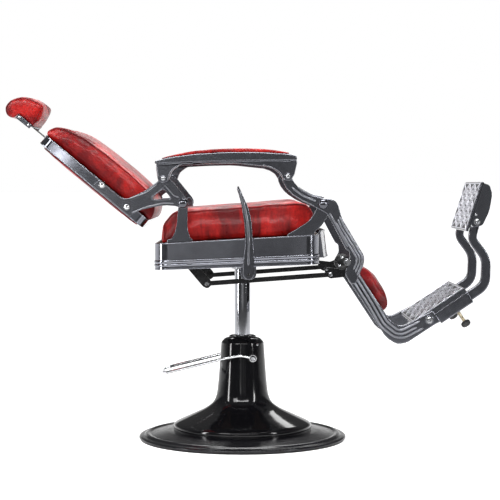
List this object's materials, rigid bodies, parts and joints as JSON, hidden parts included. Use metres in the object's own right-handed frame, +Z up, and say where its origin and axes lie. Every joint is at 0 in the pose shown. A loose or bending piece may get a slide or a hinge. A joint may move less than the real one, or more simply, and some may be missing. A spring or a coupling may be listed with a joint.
{
  "type": "hydraulic barber chair",
  "caption": "Reclining hydraulic barber chair: pump base, swivel seat box, linked back, armrests and leg rest, folding foot plate and sliding headrest.",
  "frame": {"origin": "centre of the base's underside, on the floor under the pump column", "axes": "+X to the front of the chair, +Y to the sitter's left, +Z up; drawn raised and fully reclined"},
  "size_m": [1.5551, 0.68, 1.1176],
  "materials": {
    "gloss_black_iron": "gloss black enamel",
    "gunmetal_paint": "satin gunmetal",
    "black_steel": "satin black",
    "black_knob": "moulded",
    "chrome": "polished",
    "machined_steel": "machined",
    "tread_metal": "cast lattice with black recesses",
    "red_leather": "glossy upholstery leathercloth",
    "rubber": "moulded",
    "board_wood": "raw plywood"
  },
  "bodies": {
    "base": {"floor_pad": "rubber", "base_plate": "gloss_black_iron", "base_cover": "gloss_black_iron", "oil_reservoir": "machined_steel", "pump_cylinder": "machined_steel", "piston_seal": "rubber"},
    "pedal": {"pump_pedal": "chrome"},
    "piston": {"piston_rod": "chrome", "swivel_bearing": "machined_steel"},
    "seat": {"swivel_hub": "black_steel", "seat_frame": "gunmetal_paint", "front_apron": "gunmetal_paint", "seat_board": "board_wood", "seat_cushion": "red_leather", "rear_post_left": "gunmetal_paint", "rear_post_right": "gunmetal_paint", "front_post_left": "gunmetal_paint", "front_post_right": "gunmetal_paint", "back_hinge_bolt_left": "gunmetal_paint", "back_hinge_bolt_right": "gunmetal_paint", "leg_hinge_bolt_left": "gunmetal_paint", "leg_hinge_bolt_right": "gunmetal_paint"},
    "rocker": {"link_rocker": "black_steel"},
    "link_bars": {"link_bar_left": "black_steel", "link_bar_right": "black_steel"},
    "lever": {"recline_lever": "gunmetal_paint"},
    "back": {"back_frame": "gunmetal_paint", "back_board": "board_wood", "back_cushion": "red_leather", "back_rear_panel": "red_leather", "headrest_guide": "machined_steel", "back_bracket_left": "gunmetal_paint", "back_bracket_right": "gunmetal_paint", "arm_rear_pin_left": "chrome", "arm_rear_pin_right": "chrome"},
    "headrest": {"headrest_bar": "black_steel", "headrest_bracket": "gunmetal_paint", "headrest_pad": "red_leather"},
    "armrest_left": {"armrest_casting_left": "gunmetal_paint", "armrest_pad_left": "red_leather", "arm_front_pin_left": "chrome"},
    "armrest_right": {"armrest_casting_right": "gunmetal_paint", "armrest_pad_right": "red_leather", "arm_front_pin_right": "chrome"},
    "leg": {"leg_casting_left": "gunmetal_paint", "leg_casting_right": "gunmetal_paint", "lower_rail_left": "gunmetal_paint", "lower_rail_right": "gunmetal_paint", "leg_cross_frame": "black_steel", "calf_pad": "red_leather", "calf_board": "black_steel", "lower_tread": "tread_metal", "tube_socket_left": "gunmetal_paint", "tube_socket_right": "gunmetal_paint"},
    "foot_extension": {"foot_tube_left": "gunmetal_paint", "foot_tube_right": "gunmetal_paint"},
    "foot_plate": {"upper_foot_plate": "tread_metal", "foot_plate_axle": "chrome"},
    "clamp_left": {"clamp_screw_left": "black_knob"},
    "clamp_right": {"clamp_screw_right": "black_knob"}
  },
  "joints": [
    {"name": "pump_pedal", "type": "hinge", "parent": "base", "child": "pedal", "pos_m": [0.034, 0, 0.2726], "axis": [0, 1, 0], "range_deg": [-25, 0], "stiffness_Nm_per_rad": 6, "springref_deg": 17.19},
    {"name": "piston_lift", "type": "slide", "parent": "base", "child": "piston", "axis": [0, 0, 1], "range_m": [-0.15, 0]},
    {"name": "seat_swivel", "type": "hinge", "parent": "piston", "child": "seat", "pos_m": [0, 0, 0.57], "axis": [0, 0, 1], "continuous": true},
    {"name": "back_recline", "type": "hinge", "parent": "seat", "child": "back", "pos_m": [-0.185, 0, 0.778], "axis": [0, 1, 0], "range_deg": [0, 45]},
    {"name": "armrest_left_tilt", "type": "hinge", "parent": "back", "child": "armrest_left", "pos_m": [-0.244, 0, 0.855], "axis": [0, 1, 0], "range_deg": [-49.2, 0]},
    {"name": "armrest_right_tilt", "type": "hinge", "parent": "back", "child": "armrest_right", "pos_m": [-0.244, 0, 0.855], "axis": [0, 1, 0], "range_deg": [-49.2, 0]},
    {"name": "leg_swing", "type": "hinge", "parent": "seat", "child": "leg", "pos_m": [0.25, 0, 0.775], "axis": [0, 1, 0], "range_deg": [0, 35.9]},
    {"name": "rocker_swing", "type": "hinge", "parent": "seat", "child": "rocker", "pos_m": [-0.203, 0, 0.628], "axis": [0, 1, 0], "range_deg": [0, 57.9]},
    {"name": "link_bar_swing", "type": "hinge", "parent": "rocker", "child": "link_bars", "pos_m": [-0.1115, 0, 0.525], "axis": [0, 1, 0], "range_deg": [-66.9, 0]},
    {"name": "recline_lever_pull", "type": "hinge", "parent": "seat", "child": "lever", "pos_m": [0.0185, 0, 0.556], "axis": [0, 1, 0], "range_deg": [-20, 0], "stiffness_Nm_per_rad": 3, "springref_deg": 11.46},
    {"name": "headrest_slide", "type": "slide", "parent": "back", "child": "headrest", "axis": [-0.7695, 0, 0.6386], "range_m": [-0.02, 0.07]},
    {"name": "foot_extension_slide", "type": "slide", "parent": "leg", "child": "foot_extension", "axis": [0.83, 0, 0.5577], "range_m": [-0.03, 0.03]},
    {"name": "foot_plate_tilt", "type": "hinge", "parent": "foot_extension", "child": "foot_plate", "pos_m": [0.745, 0, 0.718], "axis": [0, 1, 0], "range_deg": [0, 60]},
    {"name": "clamp_left_turn", "type": "hinge", "parent": "leg", "child": "clamp_left", "pos_m": [0.68847, 0.1525, 0.43131], "axis": [0.5577, 0, -0.83], "continuous": true},
    {"name": "clamp_right_turn", "type": "hinge", "parent": "leg", "child": "clamp_right", "pos_m": [0.68847, -0.1525, 0.43131], "axis": [0.5577, 0, -0.83], "continuous": true}
  ],
  "couplings": [
    {"joint": "armrest_left_tilt", "follows": "back_recline", "ratio": -1.092},
    {"joint": "armrest_right_tilt", "follows": "back_recline", "ratio": -1.092},
    {"joint": "leg_swing", "follows": "back_recline", "ratio": 0.7952},
    {"joint": "rocker_swing", "follows": "back_recline", "ratio": 1.2818},
    {"joint": "link_bar_swing", "follows": "back_recline", "ratio": -1.4831}
  ]
}
